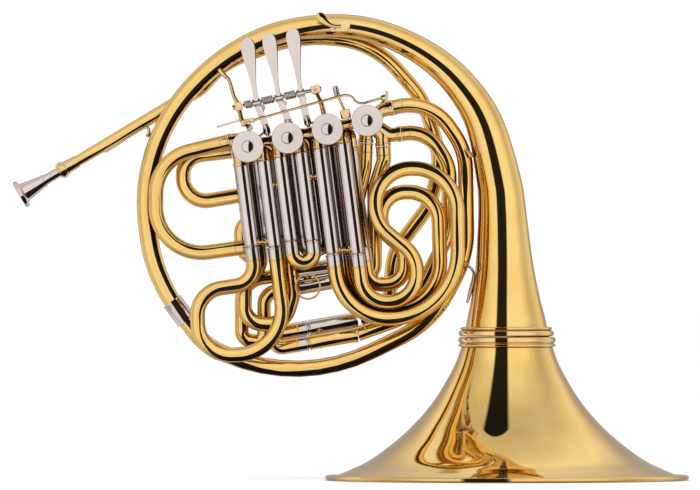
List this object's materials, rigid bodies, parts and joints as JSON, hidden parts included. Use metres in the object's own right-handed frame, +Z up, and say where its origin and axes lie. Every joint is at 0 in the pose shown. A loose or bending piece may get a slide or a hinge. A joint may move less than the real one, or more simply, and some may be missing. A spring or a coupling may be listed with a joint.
{
  "type": "french horn",
  "caption": "Double french horn with rotary valves, finger levers, pull-out tuning slides and a screw-off bell, standing on the bell rim.",
  "frame": {"origin": "on the floor under the middle of the whole horn, in the plane the bell rim stands on; the bell axis is the vertical line at x = +0.13221 m", "axes": "+Z up along the bell axis from the rim to the throat, valve caps and slide fronts face -Y, mouthpiece at -X"},
  "size_m": [0.5744, 0.3084, 0.3965],
  "materials": {
    "lacquered_brass": "clear lacquer over polished yellow brass",
    "pale_lacquered_brass": "clear lacquer over polished pale brass",
    "nickel_silver": "polished nickel silver",
    "polished_steel": "polished steel and bronze working parts"
  },
  "bodies": {
    "horn_body": {"bell_branch": "lacquered_brass", "bell_ring_upper": "pale_lacquered_brass", "first_branch": "lacquered_brass", "body_ferrule": "nickel_silver", "leadpipe": "lacquered_brass", "mouthpiece_receiver": "pale_lacquered_brass", "valve_casing_1": "pale_lacquered_brass", "valve_casing_2": "pale_lacquered_brass", "valve_casing_3": "pale_lacquered_brass", "valve_casing_4": "pale_lacquered_brass", "front_sleeves_left": "nickel_silver", "front_sleeves_right": "nickel_silver", "back_sleeves_left": "nickel_silver", "back_sleeves_right": "nickel_silver", "main_tuning_sleeves": "nickel_silver", "second_tuning_sleeves": "nickel_silver", "left_loop_outer": "lacquered_brass", "left_loop_inner": "lacquered_brass", "bow_behind_valve_1": "lacquered_brass", "lower_branch": "lacquered_brass", "inner_transfer_tube": "lacquered_brass", "outer_transfer_tube": "lacquered_brass", "lever_axle": "polished_steel", "axle_brace": "pale_lacquered_brass", "lever_spring_1": "polished_steel", "lever_spring_2": "polished_steel", "lever_spring_3": "polished_steel", "leadpipe_brace": "pale_lacquered_brass", "bell_brace": "pale_lacquered_brass", "ring_brace": "pale_lacquered_brass", "hook_plate": "pale_lacquered_brass"},
    "bell": {"bell_flare": "lacquered_brass", "bell_ring_lower": "pale_lacquered_brass"},
    "mouthpiece": {"mouthpiece": "nickel_silver"},
    "valve_cap_1": {"valve_cap_1": "nickel_silver"},
    "valve_cap_2": {"valve_cap_2": "nickel_silver"},
    "valve_cap_3": {"valve_cap_3": "nickel_silver"},
    "valve_cap_4": {"valve_cap_4": "nickel_silver"},
    "rotor_1": {"rotor_1": "polished_steel"},
    "lever_1": {"lever_1": "nickel_silver"},
    "link_rod_1": {"link_rod_1": "nickel_silver"},
    "rotor_2": {"rotor_2": "polished_steel"},
    "lever_2": {"lever_2": "nickel_silver"},
    "link_rod_2": {"link_rod_2": "nickel_silver"},
    "rotor_3": {"rotor_3": "polished_steel"},
    "lever_3": {"lever_3": "nickel_silver"},
    "link_rod_3": {"link_rod_3": "nickel_silver"},
    "rotor_4": {"rotor_4": "polished_steel"},
    "thumb_lever": {"thumb_lever": "nickel_silver"},
    "thumb_push_rod": {"thumb_push_rod": "pale_lacquered_brass"},
    "slide_1_front": {"slide_1_front": "lacquered_brass"},
    "slide_1_back": {"slide_1_back": "lacquered_brass"},
    "slide_2_front": {"slide_2_front": "lacquered_brass"},
    "slide_2_back": {"slide_2_back": "lacquered_brass"},
    "slide_3_front": {"slide_3_front": "lacquered_brass"},
    "slide_3_back": {"slide_3_back": "lacquered_brass"},
    "pull_ring": {"pull_ring": "pale_lacquered_brass"},
    "main_tuning_slide": {"main_tuning_slide": "lacquered_brass"},
    "second_tuning_slide": {"second_tuning_slide": "lacquered_brass"},
    "finger_hook": {"finger_hook": "pale_lacquered_brass"}
  },
  "joints": [
    {"name": "bell_unscrew", "type": "hinge", "parent": "horn_body", "child": "bell", "pos_m": [0.13221, 0, 0], "axis": [0, 0, 1], "continuous": true},
    {"name": "mouthpiece_pull", "type": "slide", "parent": "horn_body", "child": "mouthpiece", "axis": [-0.862, 0, -0.507], "range_m": [0, 0.03]},
    {"name": "valve_cap_1_unscrew", "type": "hinge", "parent": "horn_body", "child": "valve_cap_1", "pos_m": [-0.08719, -0.0394, 0.2821], "axis": [0, 1, 0], "continuous": true},
    {"name": "valve_cap_2_unscrew", "type": "hinge", "parent": "horn_body", "child": "valve_cap_2", "pos_m": [-0.05358, -0.0394, 0.28943], "axis": [0, 1, 0], "continuous": true},
    {"name": "valve_cap_3_unscrew", "type": "hinge", "parent": "horn_body", "child": "valve_cap_3", "pos_m": [-0.01997, -0.0394, 0.29676], "axis": [0, 1, 0], "continuous": true},
    {"name": "valve_cap_4_unscrew", "type": "hinge", "parent": "horn_body", "child": "valve_cap_4", "pos_m": [0.01364, -0.0394, 0.30408], "axis": [0, 1, 0], "continuous": true},
    {"name": "rotor_1_turn", "type": "hinge", "parent": "horn_body", "child": "rotor_1", "pos_m": [-0.08719, 0, 0.2821], "axis": [0, 1, 0], "range_deg": [0, 90]},
    {"name": "lever_1_press", "type": "hinge", "parent": "horn_body", "child": "lever_1", "pos_m": [-0.07979, -0.031, 0.31953], "axis": [-0.977, 0, -0.213], "range_deg": [0, 14.6]},
    {"name": "link_rod_1_drop", "type": "slide", "parent": "horn_body", "child": "link_rod_1", "axis": [0.213, 0, -0.977], "range_m": [0, 0.0111]},
    {"name": "rotor_2_turn", "type": "hinge", "parent": "horn_body", "child": "rotor_2", "pos_m": [-0.05358, 0, 0.28943], "axis": [0, 1, 0], "range_deg": [0, 90]},
    {"name": "lever_2_press", "type": "hinge", "parent": "horn_body", "child": "lever_2", "pos_m": [-0.06094, -0.031, 0.32365], "axis": [-0.977, 0, -0.213], "range_deg": [0, 14.6]},
    {"name": "link_rod_2_drop", "type": "slide", "parent": "horn_body", "child": "link_rod_2", "axis": [0.213, 0, -0.977], "range_m": [0, 0.0111]},
    {"name": "rotor_3_turn", "type": "hinge", "parent": "horn_body", "child": "rotor_3", "pos_m": [-0.01997, 0, 0.29676], "axis": [0, -1, 0], "range_deg": [0, 90]},
    {"name": "lever_3_press", "type": "hinge", "parent": "horn_body", "child": "lever_3", "pos_m": [-0.04247, -0.031, 0.32767], "axis": [-0.977, 0, -0.213], "range_deg": [0, 14.6]},
    {"name": "link_rod_3_drop", "type": "slide", "parent": "horn_body", "child": "link_rod_3", "axis": [0.213, 0, -0.977], "range_m": [0, 0.0111]},
    {"name": "rotor_4_turn", "type": "hinge", "parent": "horn_body", "child": "rotor_4", "pos_m": [0.01364, 0, 0.30408], "axis": [0, -1, 0], "range_deg": [0, 90]},
    {"name": "thumb_lever_press", "type": "hinge", "parent": "horn_body", "child": "thumb_lever", "pos_m": [-0.08589, -0.022, 0.2985], "axis": [0, -1, 0], "range_deg": [0, 44.5]},
    {"name": "push_rod_slide", "type": "slide", "parent": "horn_body", "child": "thumb_push_rod", "axis": [-1, 0, 0], "range_m": [0, 0.0052]},
    {"name": "slide_1_front_pull", "type": "slide", "parent": "horn_body", "child": "slide_1_front", "axis": [0.127, 0, -0.9919], "range_m": [0, 0.045]},
    {"name": "slide_1_back_pull", "type": "slide", "parent": "horn_body", "child": "slide_1_back", "axis": [0.127, 0, -0.9919], "range_m": [0, 0.045]},
    {"name": "slide_2_front_pull", "type": "slide", "parent": "horn_body", "child": "slide_2_front", "axis": [0.127, 0, -0.9919], "range_m": [0, 0.045]},
    {"name": "slide_2_back_pull", "type": "slide", "parent": "horn_body", "child": "slide_2_back", "axis": [0.127, 0, -0.9919], "range_m": [0, 0.045]},
    {"name": "slide_3_front_pull", "type": "slide", "parent": "horn_body", "child": "slide_3_front", "axis": [0.127, 0, -0.9919], "range_m": [0, 0.045]},
    {"name": "slide_3_back_pull", "type": "slide", "parent": "horn_body", "child": "slide_3_back", "axis": [0.127, 0, -0.9919], "range_m": [0, 0.045]},
    {"name": "pull_ring_swing", "type": "hinge", "parent": "slide_2_front", "child": "pull_ring", "pos_m": [-0.03639, -0.027, 0.1743], "axis": [1, 0, 0], "range_deg": [-60, 5]},
    {"name": "main_tuning_pull", "type": "slide", "parent": "horn_body", "child": "main_tuning_slide", "axis": [-0.986, 0, -0.1665], "range_m": [0, 0.028]},
    {"name": "second_tuning_pull", "type": "slide", "parent": "horn_body", "child": "second_tuning_slide", "axis": [-0.9857, 0, -0.1686], "range_m": [0, 0.009]},
    {"name": "finger_hook_adjust", "type": "slide", "parent": "horn_body", "child": "finger_hook", "axis": [1, 0, 0], "range_m": [-0.003, 0.003]}
  ],
  "couplings": [
    {"joint": "lever_1_press", "follows": "rotor_1_turn", "ratio": 0.16},
    {"joint": "link_rod_1_drop", "follows": "rotor_1_turn", "m_per_rad": 0.007003},
    {"joint": "lever_2_press", "follows": "rotor_2_turn", "ratio": 0.16},
    {"joint": "link_rod_2_drop", "follows": "rotor_2_turn", "m_per_rad": 0.007003},
    {"joint": "lever_3_press", "follows": "rotor_3_turn", "ratio": 0.16},
    {"joint": "link_rod_3_drop", "follows": "rotor_3_turn", "m_per_rad": 0.007003},
    {"joint": "thumb_lever_press", "follows": "rotor_4_turn", "ratio": 0.4889},
    {"joint": "push_rod_slide", "follows": "rotor_4_turn", "m_per_rad": 0.00324}
  ]
}
